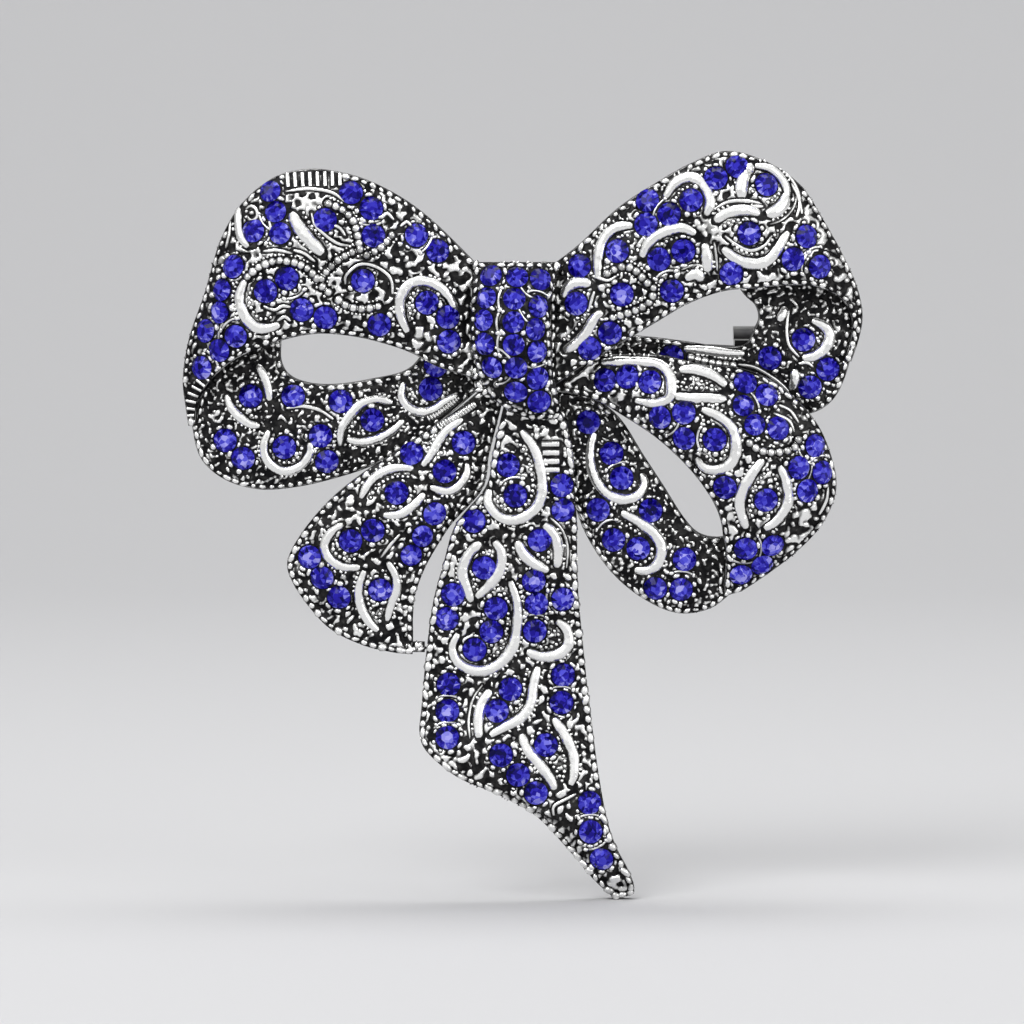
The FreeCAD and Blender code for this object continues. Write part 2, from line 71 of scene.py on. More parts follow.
def feed(tree, node, inputs):
    # sets inputs by name, each to a value or to another node's output
    for name, value in inputs.items():
        if isinstance(value, bpy.types.NodeSocket):
            tree.links.new(value, node.inputs[name])
        else:
            node.inputs[name].default_value = value


def addNode(tree, kind, inputs=None, **settings):
    node = tree.nodes.new(kind)
    for key, value in settings.items():
        setattr(node, key, value)
    feed(tree, node, inputs or {})
    return node


def noise(tree, scale, detail=3.0):
    place = addNode(tree, "ShaderNodeTexCoord").outputs["Object"]
    grain = addNode(tree, "ShaderNodeTexNoise", {"Scale": scale, "Detail": detail, "Vector": place})
    return grain.outputs["Fac"]


def ramp(tree, source, stops):
    node = addNode(tree, "ShaderNodeValToRGB", {"Fac": source})
    while len(node.color_ramp.elements) < len(stops):
        node.color_ramp.elements.new(0.5)
    for element, (position, colour) in zip(node.color_ramp.elements, stops):
        element.position = position
        element.color = (*colour, 1.0)
    return node.outputs["Color"]


def maths(tree, operation, *values):
    return addNode(tree, "ShaderNodeMath", dict(enumerate(values)), operation=operation).outputs["Value"]


def bump(tree, source, height):
    node = addNode(tree, "ShaderNodeBump", {"Distance": height, "Strength": 1.0, "Height": source})
    return node.outputs["Normal"]


finish = {
    "oxideAndShade": (0.005, 0.005, 0.006),      # black patina left in the hollows, also used as painted shade on the fronts of the fittings and on the flanks of raised work
    "oxideWornAndShade": (0.035, 0.034, 0.034),
    "silver": (0.90, 0.90, 0.89),        # rubbed bright
    "silverDull": (0.36, 0.36, 0.355),
    "plate": (0.24, 0.24, 0.245),        # the plain backs
    "fittings": (0.52, 0.52, 0.51),
    "steel": (0.62, 0.62, 0.63),
    "worn": 0.72,                        # how much darker the worn places of the fittings are
}


def frontAndBack(tree, front, back, change):
    # one colour for what faces the front, one for the sides and the back
    place = addNode(tree, "ShaderNodeTexCoord").outputs["Normal"]
    split = addNode(tree, "ShaderNodeSeparateXYZ", {"Vector": place})
    facing = addNode(tree, "ShaderNodeMapRange",
                     {"Value": split.outputs["Y"], "From Min": change[0], "From Max": change[1]})
    mix = addNode(tree, "ShaderNodeMix", {"Factor": facing.outputs["Result"], "A": front, "B": back},
                  data_type="RGBA")
    return mix.outputs["Result"]


def patinaGround():
    # cast ground: black in front, plain grey plate behind
    material, tree, shader = newMaterial("patinaGround")
    grit = noise(tree, 1400.0, 5.0)
    front = ramp(tree, grit, [(0.42, finish["oxideAndShade"]), (0.66, finish["oxideWornAndShade"]),
                              (0.86, finish["silverDull"])])
    back = ramp(tree, noise(tree, 700.0, 5.0), [(0.3, finish["plate"]), (0.7, finish["silverDull"])])
    feed(tree, shader, {"Base Color": frontAndBack(tree, front, back, (0.2, 0.5)), "Metallic": 0.85,
                        "Roughness": maths(tree, "MULTIPLY_ADD", grit, 0.3, 0.35),
                        "Normal": bump(tree, grit, 0.00012)})
    return material


def rubbedSilverAndShade(name, edgeLow, edgeHigh, polish):
    # raised work: bright on top, black where it sinks into the ground ("lift" runs 0 to 1); the black is
    # partly patina in the hollows and partly painted shade on the flanks of beads, curls and lumps
    material, tree, shader = newMaterial(name)
    lift = addNode(tree, "ShaderNodeAttribute", attribute_name="lift")
    patch = maths(tree, "MULTIPLY_ADD", noise(tree, 300.0, 2.0), 0.3, -0.4)
    wear = maths(tree, "MULTIPLY_ADD", noise(tree, 1100.0), 0.5, patch)
    level = maths(tree, "ADD", lift.outputs["Fac"], wear)
    colour = ramp(tree, level, [(edgeLow, finish["oxideAndShade"]), (edgeHigh, finish["silverDull"]),
                                (min(edgeHigh + 0.16, 0.99), finish["silver"])])
    feed(tree, shader, {"Base Color": colour, "Metallic": 0.9, "Roughness": polish,
                        "Normal": bump(tree, noise(tree, 1500.0), 0.00008)})
    return material


def plainMetal(name, colour, roughness, scale, depth):
    material, tree, shader = newMaterial(name)
    wear = noise(tree, scale, 4.0)
    dark = tuple(value * finish["worn"] for value in colour)
    plain = ramp(tree, wear, [(0.32, dark), (0.62, colour)])
    # painted shade: faces turned to the front, which lie in the shade behind the castings, are coloured
    # black
    paintedFrontShade = ramp(tree, wear, [(0.32, finish["oxideAndShade"]), (0.9, finish["oxideWornAndShade"])])
    feed(tree, shader, {"Base Color": frontAndBack(tree, paintedFrontShade, plain, (-0.5, -0.1)), "Metallic": 1.0,
                        "Roughness": roughness, "Normal": bump(tree, wear, depth)})
    return material


# the paste's blues from deep navy to royal blue, ending in a pale painted glint
blueAndPaintedGlints = [(0.16, (0.001, 0.001, 0.05)), (0.36, (0.005, 0.002, 0.17)), (0.54, (0.020, 0.013, 0.42)),
               (0.76, (0.09, 0.09, 0.72)), (0.97, (0.42, 0.41, 0.92))]


def blueStone():
    # foiled blue paste: each facet gets its own painted light and shade, mottled by a cell pattern
    material, tree, shader = newMaterial("blueStone")
    facetPaintedLight = addNode(tree, "ShaderNodeAttribute", attribute_name="facetPaintedLight")
    place = addNode(tree, "ShaderNodeTexCoord").outputs["Object"]
    cells = addNode(tree, "ShaderNodeTexVoronoi", {"Scale": 2600.0, "Vector": place})
    split = addNode(tree, "ShaderNodeSeparateXYZ", {"Vector": cells.outputs["Color"]})
    paintedFoilLight = maths(tree, "ADD", maths(tree, "MULTIPLY", split.outputs["X"], 0.45),
                 maths(tree, "MULTIPLY", facetPaintedLight.outputs["Fac"], 0.6))
    feed(tree, shader, {"Base Color": ramp(tree, paintedFoilLight, blueAndPaintedGlints), "Roughness": 0.06, "IOR": 1.5,
                        "Specular IOR Level": 0.12})
    return material


groundMetal = patinaGround()
grainMetal = rubbedSilverAndShade("grainSilver", 0.60, 0.78, 0.24)
curlMetal = rubbedSilverAndShade("curlSilver", 0.08, 0.28, 0.2)
stoneBlue = blueStone()
platedMetal = plainMetal("platedFittings", finish["fittings"], 0.32, 420.0, 0.00002)
steelMetal = plainMetal("steelWire", finish["steel"], 0.22, 700.0, 0.00001)
print("materials made")


def paint(obj, material):
    obj.data.materials.clear()
    obj.data.materials.append(material)


castings = ["knot", "left_loop", "right_upper_loop", "right_lower_loop", "left_tail", "centre_tail"]
for name in castings:
    paint(nodes[name], groundMetal)
for name in ("hinge_bracket", "catch_housing", "catch_rotor"):
    paint(nodes[name], platedMetal)
for name in ("hinge_rivet", "pin_stem"):
    paint(nodes[name], steelMetal)


def mergedCopy(name):
    work = bmesh.new()
    work.from_mesh(nodes[name].data)
    bmesh.ops.remove_doubles(work, verts=work.verts, dist=0.002 * mm)
    work.normal_update()
    return work


def islands(work):
    left = set(work.verts)
    while left:
        group = [left.pop()]
        for vert in group:
            for edge in vert.link_edges:
                other = edge.other_vert(vert)
                if other in left:
                    left.remove(other)
                    group.append(other)
        yield group


def stonePlaces(name):
    # the foot and the axis of each stone, from the spread of its points
    work = mergedCopy(name)
    places = []
    for group in islands(work):
        points = np.array([vert.co[:] for vert in group])
        middle = points.mean(axis=0)
        spread, axes = np.linalg.eigh(np.cov((points - middle).T))
        axis = Vector(axes[:, 0])
        if axis.y > 0:
            axis.negate()
        heights = (points - middle) @ np.array(axis)
        places.append((Vector(middle) + axis * float(heights.min()), axis))
    work.free()
    return sorted(places, key=lambda place: tuple(place[0]))


class Skin:
    # the front of one casting, with the stones that sit in it

    def __init__(self, name, stoneNodes):
        self.work = mergedCopy(name)
        self.tree = BVHTree.FromBMesh(self.work)
        self.stones = [place for node in stoneNodes for place in stonePlaces(node)]

    def touch(self, x, z):
        start = Vector((x, -30 * mm, z))
        hit, normal, face, far = self.tree.ray_cast(start, Vector((0, 1, 0)), 60 * mm)
        if hit is None or normal.y > -0.25:      # nothing there, or the side of a rim
            return None
        return hit, normal

    def stoneGap(self, point):
        return min((self.fromAxis(place, point) for place in self.stones), default=1.0)

    @staticmethod
    def fromAxis(place, point):
        foot, axis = place
        across = point - foot
        along = across.dot(axis)
        return 1.0 if abs(along) > stone["reach"] else (across - axis * along).length

    def inner(self, x, z, margin):
        # true where the surface runs on for that margin all round
        here = self.touch(x, z)
        if here is None:
            return None
        for step in range(8):
            angle = step * math.pi / 4
            near = self.touch(x + margin * math.cos(angle), z + margin * math.sin(angle))
            if near is None or abs(near[0].y - here[0].y) > 1.6 * margin + 0.3 * mm:
                return None
        return here


stone = {
    "radius": 1.06 * mm,
    "table": 0.54 * mm,
    "girdle": 0.37 * mm,
    "height": 0.82 * mm,
    "foot": 0.90 * mm,
    "reach": 2.0 * mm,           # how far above or below its foot a stone takes up room
}

keepOff = {          # how near to a stone's axis each kind of work may come
    "wire": 1.16 * mm,
    "curlGrains": 1.20 * mm,
    "pearlGrains": 1.15 * mm,
    "rings": 1.14 * mm,
    "ground": 1.13 * mm,
    "edgeBeads": 1.08 * mm,
    "rims": 1.02 * mm,           # an edge nearer than this is the rim of a stone's seat
}

stoneNodesOf = {
    "knot": ["knot_stones"],
    "left_loop": ["left_loop_front_stones", "left_loop_rear_stones"],
    "right_upper_loop": ["right_upper_front_stones", "right_upper_rear_stones"],
    "right_lower_loop": ["right_lower_front_stones", "right_lower_rear_stones"],
    "left_tail": ["left_tail_stones"],
    "centre_tail": ["centre_tail_stones"],
}
skins = {name: Skin(name, stoneNodesOf[name]) for name in castings}
print("castings read:", {name: len(skin.stones) for name, skin in skins.items()})


def meshFrom(work, name):
    mesh = bpy.data.meshes.new(name)
    work.to_mesh(mesh)
    work.free()
    return mesh


def newObject(name, data):
    obj = bpy.data.objects.new(name, data)
    bpy.context.scene.collection.objects.link(obj)
    return obj


def vertsOf(geom):
    return [item for item in geom if isinstance(item, bmesh.types.BMVert)]


def beadTemplate(name, around, down, top):
    # a cast grain: a ball whose lift falls off from its top, so its flanks get painted shade
    work = bmesh.new()
    bmesh.ops.create_uvsphere(work, u_segments=around, v_segments=down, radius=1.0)
    lift = work.verts.layers.float.new("lift")
    for vert in work.verts:
        vert[lift] = top - 0.5 + 0.5 * vert.co.z
    for face in work.faces:
        face.smooth = True
    return meshFrom(work, name)


def facetOrder(face):
    # table and crown facets as they were made, then the girdle's by their direction, then the foot
    if face.normal.z > 0:
        return face.index
    middle = face.calc_center_median()
    return 200 if face.normal.z < -0.9 else 100 + math.atan2(middle.y, middle.x)


def stoneTemplate():
    # table, crown facets and girdle of a round cut stone; the rest is inside its seat
    work = bmesh.new()
    table = bmesh.ops.create_circle(work, segments=8, radius=stone["table"], cap_ends=True)["verts"]
    bmesh.ops.translate(work, verts=table, vec=(0, 0, stone["height"]))
    girdle = bmesh.ops.create_circle(work, segments=16, radius=stone["radius"])["verts"]
    bmesh.ops.translate(work, verts=girdle, vec=(0, 0, stone["girdle"]))
    rims = [edge for edge in work.edges if len(edge.link_faces) < 2]
    bmesh.ops.bridge_loops(work, edges=rims)
    rim = [edge for edge in work.edges if len(edge.link_faces) == 1]
    wall = vertsOf(bmesh.ops.extrude_edge_only(work, edges=rim)["geom"])
    bmesh.ops.translate(work, verts=wall, vec=(0, 0, -stone["girdle"]))
    narrow = stone["foot"] / stone["radius"]
    bmesh.ops.scale(work, verts=wall, vec=(narrow, narrow, 1))
    foot = [edge for edge in work.edges if len(edge.link_faces) == 1]
    bmesh.ops.contextual_create(work, geom=foot)
    bmesh.ops.recalc_face_normals(work, faces=work.faces)
    work.faces.index_update()
    work.faces.sort(key=facetOrder)
    return meshFrom(work, "stone")


beadMesh = beadTemplate("bead", 7, 5, 1.0)
pearlMesh = beadTemplate("pearl", 9, 6, 0.92)
stoneMesh = stoneTemplate()


def standing(point, axis, turn):
    upright = axis.to_track_quat("Z", "Y").to_matrix().to_4x4()
    return Matrix.Translation(point) @ upright @ Matrix.Rotation(turn, 4, "Z")


def stamp(work, template, matrix):
    copy = template.copy()
    copy.transform(matrix)
    work.from_mesh(copy)
    bpy.data.meshes.remove(copy)


def addBead(work, point, normal, radius, sink, squash, long=1.0, along=None, shape=beadMesh):
    # sink, squash and long are shares of the radius; along is the way the bead is drawn out
    if along is None:
        place = standing(point - normal * radius * sink, normal, dice.uniform(0, 6.28))
    else:
        side = normal.cross(along).normalized()
        ahead = side.cross(normal).normalized()
        turn = Matrix((ahead, side, normal)).transposed().to_4x4()
        place = Matrix.Translation(point - normal * radius * sink) @ turn
    stamp(work, shape, place @ Matrix.Diagonal((radius * long, radius / long, radius * squash, 1.0)))


def finishPiece(work, name, material):
    obj = newObject(name, meshFrom(work, name))
    paint(obj, material)
    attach(obj, "brooch")
    return obj


paintedLightFrom = Vector((0.35, -0.55, -0.75)).normalized()     # painted light: facets turned this way get a lighter foil colour


def cutStones(stoneNode):
    work = bmesh.new()
    facetPaintedLight = work.faces.layers.float.new("facetPaintedLight")
    places = stonePlaces(stoneNode)
    for foot, axis in places:
        before = len(work.faces)
        room = [(other - foot).length / 2 for other, _ in places if other != foot]
        size = min(room + [stone["radius"]]) / stone["radius"]
        upright = standing(foot, axis, dice.uniform(0, 6.28))
        stamp(work, stoneMesh, upright @ Matrix.Diagonal((size, size, 1.0, 1.0)))
        work.faces.ensure_lookup_table()
        # a painted glint on each stone's table facet
        paintedTableGlint = dice.choice((0.25, 0.45, 0.55, 0.7, 0.95))
        for face in work.faces[before:]:
            flat = face.normal.dot(axis) > 0.98
            # painted shade: the other facets are lighter the more they face the painted light's
            # direction, with random tone added
            shade = 0.5 + 0.5 * face.normal.dot(paintedLightFrom)
            paintedFacetLevel = paintedTableGlint if flat else 0.75 * shade + dice.uniform(-0.42, 0.38)
            face[facetPaintedLight] = min(max(paintedFacetLevel, 0.0), 1.0)
    obj = finishPiece(work, stoneNode.replace("_stones", "_cut_stones"), stoneBlue)
    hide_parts(stoneNode)


for names in stoneNodesOf.values():
    for name in names:
        cutStones(name)
print("stones cut")


curls = {}
curls["left_loop"] = {
    "broad": [[(-20.1, 12.6), (-19.4, 11.3), (-18.4, 10.1), (-17.3, 9.0)]],
    "bold": [
        [(-24.3, 6.6), (-24.8, 5.0), (-24.3, 3.4), (-23.3, 2.4), (-22.1, 2.35), (-21.2, 2.7)],
        [(-9.8, 2.0), (-10.4, 3.5), (-10.4, 5.1), (-9.6, 6.3), (-8.3, 6.55), (-6.9, 6.0), (-6.0, 5.0),
         (-5.4, 3.8)],
    ],
    "slim": [
        [(-24.9, 13.2), (-24.9, 11.8), (-24.7, 10.6), (-24.0, 9.5)],
        [(-23.3, -1.1), (-22.8, -1.9), (-22.4, -2.9), (-22.2, -4.3)],
        [(-26.1, -3.8), (-25.7, -4.9), (-24.9, -5.8), (-24.0, -6.4), (-23.1, -6.6)],
        [(-22.3, -7.0), (-22.7, -8.1), (-22.7, -9.1), (-22.2, -10.0), (-21.3, -10.6), (-20.2, -10.6),
         (-19.2, -10.0), (-18.6, -9.0), (-18.6, -8.1)],
        [(-15.9, -8.4), (-15.8, -6.9), (-15.0, -5.6), (-14.0, -4.6), (-12.6, -4.2), (-11.2, -4.5)],
        [(-15.3, -7.8), (-14.0, -8.1), (-12.5, -7.8), (-11.1, -7.0), (-10.2, -6.1)],
        [(-10.2, -2.7), (-10.4, -3.9), (-9.8, -4.9), (-8.7, -5.4), (-7.5, -5.2), (-6.5, -4.5),
         (-5.3, -3.8)],
    ],
    "pearl": [
        [(-16.8, 13.4), (-15.6, 12.9), (-14.7, 12.0), (-14.3, 11.0), (-14.1, 9.9)],
        [(-14.0, 9.4), (-15.0, 9.0), (-16.1, 8.3), (-17.0, 7.4), (-17.5, 6.4), (-16.8, 5.6)],
        [(-19.8, 8.2), (-21.4, 8.35), (-22.9, 7.8), (-24.0, 6.9)],
        [(-19.8, 8.2), (-18.7, 7.7), (-17.8, 6.8)],
        [(-13.4, 8.9), (-12.2, 9.5), (-11.2, 10.6)],
        [(-15.9, 4.9), (-15.0, 4.3), (-13.7, 4.1), (-12.4, 4.3)],
    ],
    "hatched": [[(-7.9, -6.0), (-6.6, -5.2), (-5.2, -4.1)]],
    "fine": [
        [(-20.6, 14.5), (-18.5, 14.75), (-16.5, 14.4), (-15.3, 13.6)],
        [(-22.6, 9.2), (-21.3, 9.3), (-20.0, 9.0)],
        [(-19.9, 9.3), (-18.9, 9.0), (-18.0, 8.3)],
        [(-18.3, 12.6), (-18.0, 11.6), (-17.0, 10.6), (-15.9, 9.9), (-14.9, 9.7)],
        [(-16.6, 11.6), (-15.8, 11.3), (-15.3, 10.6)],
        [(-15.3, 6.3), (-15.2, 7.1), (-14.0, 8.05), (-12.5, 7.8), (-11.3, 6.8), (-11.1, 5.4)],
        [(-24.2, 12.9), (-23.7, 13.2), (-23.2, 12.8), (-23.2, 12.2), (-23.7, 11.9), (-24.1, 12.3)],
        [(-26.0, 9.4), (-25.7, 10.6), (-25.6, 11.8)],
        [(-22.6, 4.3), (-21.6, 4.0), (-20.9, 4.35), (-20.0, 4.2)],
        [(-21.4, 3.0), (-20.7, 3.4), (-20.2, 3.0)],
        [(-20.7, -5.0), (-19.2, -4.85), (-17.7, -5.2), (-16.5, -6.0)],
        [(-13.0, 12.9), (-12.2, 12.2), (-11.6, 12.6), (-11.0, 12.0)],
        [(-10.4, 11.4), (-9.8, 11.8), (-9.3, 11.1)],
    ],
    "bars": [(-20.4 + 0.66 * step, 14.9 + 0.02 * step, -20.5 + 0.67 * step, 16.1 + 0.03 * step, 0.21)
             for step in range(8)] + [
        (-27.6, -1.5, -26.9, -2.2, 0.17), (-28.2, -1.9, -27.4, -2.6, 0.17),
        (-28.7, -2.4, -27.8, -3.1, 0.17), (-29.1, -3.0, -28.1, -3.5, 0.17),
        (-29.5, -3.6, -28.4, -4.0, 0.17), (-29.7, -4.3, -28.6, -4.5, 0.17),
        (-29.8, -5.0, -28.7, -5.1, 0.17), (-29.8, -5.7, -28.8, -5.6, 0.17)],
}
curls["left_tail"] = {
    "slim": [
        [(-4.9, -5.9), (-6.4, -7.0), (-7.3, -8.3), (-7.9, -9.3), (-8.5, -10.1)],
        [(-4.5, -9.9), (-4.5, -10.9), (-5.3, -12.0), (-6.3, -12.4), (-7.8, -12.0)],
        [(-9.3, -10.3), (-11.0, -10.3), (-12.5, -10.9), (-13.4, -11.8), (-14.0, -13.0)],
        [(-8.3, -12.6), (-9.3, -13.6), (-10.5, -14.4), (-12.0, -14.5)],
        [(-15.6, -15.3), (-16.8, -16.2), (-17.3, -17.4), (-16.7, -18.6), (-15.5, -19.2),
         (-14.1, -19.2)],
        [(-11.6, -18.7), (-11.0, -19.8), (-10.8, -21.1), (-11.3, -22.6), (-11.7, -24.1)],
        [(-13.7, -19.5), (-14.2, -21.1), (-14.1, -22.6), (-13.4, -24.1), (-12.5, -25.0)],
    ],
    "hatched": [[(-7.0, -6.6), (-5.6, -5.8), (-3.7, -4.6)]],
    "fine": [[(-10.5, -16.2), (-11.4, -17.2), (-12.2, -18.3)]],
}
curls["centre_tail"] = {
    "bold": [
        [(0.4, -6.9), (1.5, -8.4), (2.1, -10.2), (2.3, -12.1), (1.9, -13.5), (1.0, -14.4),
         (-0.3, -14.9), (-1.6, -14.6), (-2.6, -13.4), (-2.5, -12.2)],
        [(-3.3, -16.9), (-4.4, -18.1), (-4.9, -19.6), (-4.5, -21.1), (-4.1, -22.3)],
        [(-2.0, -16.8), (-1.4, -17.8), (-1.5, -19.3), (-2.4, -20.7), (-3.6, -21.9)],
        [(2.4, -15.3), (3.3, -16.2), (3.7, -17.5), (3.6, -19.2)],
        [(0.0, -16.8), (0.6, -18.0), (1.6, -18.9), (2.8, -19.5)],
        [(-0.6, -20.4), (0.0, -22.3), (0.05, -24.1), (-0.3, -26.2), (-1.2, -27.6), (-2.6, -28.5),
         (-4.1, -28.5), (-5.4, -27.7), (-5.8, -26.4), (-5.3, -25.2)],
        [(3.6, -24.0), (4.5, -24.9), (4.6, -26.2), (3.7, -27.1), (2.2, -27.3), (0.9, -26.8)],
        [(1.9, -28.2), (1.5, -29.8), (1.2, -31.6), (0.3, -32.8), (-1.2, -33.6), (-2.4, -34.3)],
        [(-2.4, -30.3), (-3.2, -31.5), (-3.5, -33.0), (-3.4, -34.5)],
        [(0.4, -34.2), (0.9, -35.5), (2.1, -37.0), (3.0, -38.2), (3.4, -39.1)],
        [(3.3, -32.8), (4.3, -34.3), (5.1, -36.1), (5.1, -37.8), (4.8, -38.7)],
    ],
    "fine": [[(3.3, -41.4), (3.3, -40.6), (4.3, -40.0), (5.3, -39.5)]],
    "bars": [(2.2 + 0.1 * step, -8.1 - 0.77 * step, 3.75, -8.1 - 0.77 * step, 0.28)
             for step in range(4)],
}
curls["right_upper_loop"] = {
    "broad": [
        [(20.0, 14.0), (20.0, 15.0), (20.3, 16.0), (20.9, 16.9)],
        [(22.2, 12.5), (23.1, 12.8), (23.8, 13.5), (24.0, 14.3)],
    ],
    "bold": [
        [(4.1, 5.1), (4.5, 5.9), (5.3, 6.4), (6.6, 6.3)],
        [(7.2, 6.8), (7.2, 8.3), (7.5, 9.8), (8.1, 10.8), (9.1, 11.4), (10.3, 11.5)],
        [(13.2, 14.0), (14.0, 15.2), (15.2, 15.8), (16.2, 15.5), (16.9, 14.6), (17.2, 13.5),
         (16.8, 12.4)],
        [(11.1, 8.7), (11.8, 10.1), (13.2, 11.0), (14.7, 11.3), (15.9, 10.8)],
        [(4.2, 0.3), (5.1, 0.8), (6.0, 1.7), (6.4, 2.3), (7.0, 3.3), (7.6, 3.8)],
        [(17.6, 11.9), (18.6, 12.6), (20.1, 12.9), (21.6, 12.6)],
        [(18.3, 9.5), (19.4, 8.6), (20.8, 8.1), (22.2, 8.3), (23.1, 9.2), (23.7, 10.2), (24.2, 10.9)],
        [(16.7, 9.9), (16.9, 8.7), (17.0, 7.4)],
        [(15.0, 6.8), (16.0, 7.2), (16.5, 6.6)],
        [(26.5, 2.9), (27.7, 2.3), (28.1, 1.4), (27.7, 0.4), (26.8, -0.3), (25.6, -0.5)],
    ],
    "slim": [
        [(21.2, 16.8), (22.4, 16.6), (23.4, 15.9), (24.0, 14.9), (24.1, 13.9)],
        [(24.1, 4.1), (23.8, 3.4), (23.5, 2.8)],
        [(15.0, 0.3), (17.0, 0.15), (19.0, -0.1), (20.4, -0.1)],
        [(24.9, -1.5), (24.95, -2.5), (24.6, -3.4)],
    ],
    "pearl": [
        [(8.1, 7.2), (9.3, 7.8), (10.4, 7.6), (11.5, 6.5), (12.2, 5.85), (11.8, 4.7), (10.6, 4.0),
         (8.55, 3.3)],
        [(15.6, -0.5), (17.3, -0.9), (19.4, -1.2)],
    ],
    "fine": [
        [(6.9, 5.6), (6.6, 4.6), (6.4, 3.9)],
        [(6.7, 7.0), (8.1, 6.6), (8.9, 7.0)],
        [(21.9, 17.3), (23.1, 16.8), (24.2, 15.9), (25.0, 14.6), (25.2, 13.3), (24.9, 12.2)],
        [(20.7, 13.2), (21.9, 13.2)],
        [(17.6, 13.0), (18.8, 13.6), (20.2, 13.7), (21.6, 13.5)],
        [(25.4, 12.5), (25.1, 13.9), (24.5, 15.2)],
        [(18.5, 10.6), (19.4, 9.9), (20.7, 9.3), (22.0, 9.7), (22.7, 10.6)],
        [(10.7, 9.6), (11.4, 10.6)],
        [(24.4, 3.8), (24.2, 2.2), (24.4, 0.7), (25.3, -0.4)],
        [(19.9, -1.1), (21.5, -1.4), (23.3, -2.5), (24.4, -3.5)],
        [(25.3, -1.0), (26.0, -0.9), (26.6, -1.3)],
    ],
}
curls["right_lower_loop"] = {
    "bold": [
        [(7.6, -0.8), (9.3, -0.7), (11.1, -0.7), (12.6, -0.9), (13.5, -1.6), (13.8, -2.7),
         (13.6, -3.9), (12.3, -4.4), (10.6, -4.2)],
        [(14.5, -1.4), (15.9, -1.4), (17.5, -1.9), (18.7, -2.8)],
        [(14.1, -3.7), (15.6, -3.9), (17.1, -3.9), (18.7, -4.0)],
        [(16.5, -4.9), (18.0, -5.5), (19.2, -6.6), (19.6, -8.2), (19.2, -9.6), (18.1, -10.3),
         (16.8, -10.2), (16.0, -9.3)],
        [(22.0, -9.4), (21.1, -10.5), (20.2, -12.1), (19.9, -13.6), (20.5, -15.6)],
        [(23.5, -10.0), (24.1, -11.4), (24.3, -13.0), (24.0, -13.9), (23.2, -15.0), (22.2, -15.7)],
        [(7.0, -7.3), (6.6, -8.5), (6.6, -10.2), (7.2, -11.7), (8.1, -12.7), (9.4, -13.2),
         (10.8, -12.9), (11.5, -11.8), (11.2, -10.9)],
        [(9.4, -14.4), (10.8, -15.1), (12.3, -16.2), (13.0, -17.5), (12.7, -18.9), (11.8, -19.6),
         (10.6, -19.6)],
    ],
    "pearl": [[(20.7, -7.9), (21.7, -8.6), (23.1, -8.8), (24.6, -8.5), (25.1, -7.7)]],
    "fine": [
        [(22.9, -5.3), (24.3, -6.0), (24.8, -7.0)],
        [(23.4, -4.6), (24.4, -5.1), (25.2, -6.2)],
        [(27.9, -12.0), (27.7, -13.3), (27.1, -14.5)],
    ],
}

relief = {
    "step": 0.20 * mm,
    "broad": (0.72 * mm, 0.45 * mm, 0.22 * mm),   # a curl's radius at its middle, at its ends, its depth
    "bold": (0.61 * mm, 0.36 * mm, 0.20 * mm),
    "slim": (0.51 * mm, 0.28 * mm, 0.14 * mm),
    "fine": 0.20 * mm,
    "fineEnd": 0.12 * mm,
    "wire": 0.15 * mm,
    "wireEnd": 0.07 * mm,
    "wireGap": 0.23 * mm,
    "inlayGap": 0.27 * mm,       # from the curl to its row of small beads on the hollow side
    "inlayBead": 0.20 * mm,
    "inlayPitch": 0.47 * mm,
    "teeth": 0.17 * mm,          # small grains run into the outer side of a curl
    "teethPitch": 0.42 * mm,
    "teethShare": 0.6,
    "strip": (0.42 * mm, 0.34 * mm, 0.20 * mm),
    "stripRib": 0.24 * mm,
    "stripRise": 0.12 * mm,
    "stripPitch": 0.27 * mm,
    "pearl": 0.43 * mm,
    "pearlPitch": 0.70 * mm,
    "pearlRod": 0.24 * mm,
    "pearlGrain": 0.16 * mm,     # small grains on both sides of the pearls
    "pearlGrainPitch": 0.36 * mm,
    "jump": 0.5 * mm,            # a step in depth that ends a run
    "bright": 0.34 * mm,         # what stands this high is rubbed fully bright; lower points darken, partly as patina and partly as painted shade
}

ground = {
    "grid": 0.12 * mm,
    "clear": 0.15 * mm,          # the ground sinks away over this width beside curls, beads and stones
    "melt": 0.40,                # more parts the lumps, less lets them run together
    "pit": 0.92,                 # the net's pitch and the width of its ribs, in millimetres
    "rib": 0.42,
    "rearPitch": 0.54,           # the ribbons behind have smaller grains
    "rearLump": 0.19,
    "relief": 0.22 * mm,
    "depth": 0.10 * mm,          # how far its underside is sunk in the casting
    "edgeBead": 0.33 * mm,
    "edgePitch": 0.43 * mm,      # every other step takes a bead
    "edgeInset": 0.30 * mm,
    "rimWire": 0.08 * mm,
    "wirePitch": 0.40 * mm,
    "wireInset": 0.07 * mm,
    "wireLift": 0.66,            # how bright the rim's wire is
    "ringBead": 0.28 * mm,
    "ringCount": 8,
    "ringShare": 0.88,           # how many of a ring's beads are there
    "ringRadius": 1.27 * mm,
    "lineFrom": 2.35 * mm,       # stones this far apart get a thin line between them
    "lineTo": 3.10 * mm,
    "lineBead": 0.26 * mm,
}


def smoothLine(points, step):
    # a curve through the points, walked at even steps
    knots = [Vector((x * mm, z * mm)) for x, z in points]
    knots = [knots[0] * 2 - knots[1]] + knots + [knots[-1] * 2 - knots[-2]]
    dense = []
    for a, b, c, d in zip(knots, knots[1:], knots[2:], knots[3:]):
        for i in range(12):
            t = i / 12
            cubic = (3 * b - a - 3 * c + d) * t ** 3
            dense.append(0.5 * (2 * b + (c - a) * t + (2 * a - 5 * b + 4 * c - d) * t * t + cubic))
    dense.append(knots[-2])
    return evenly(dense, step)


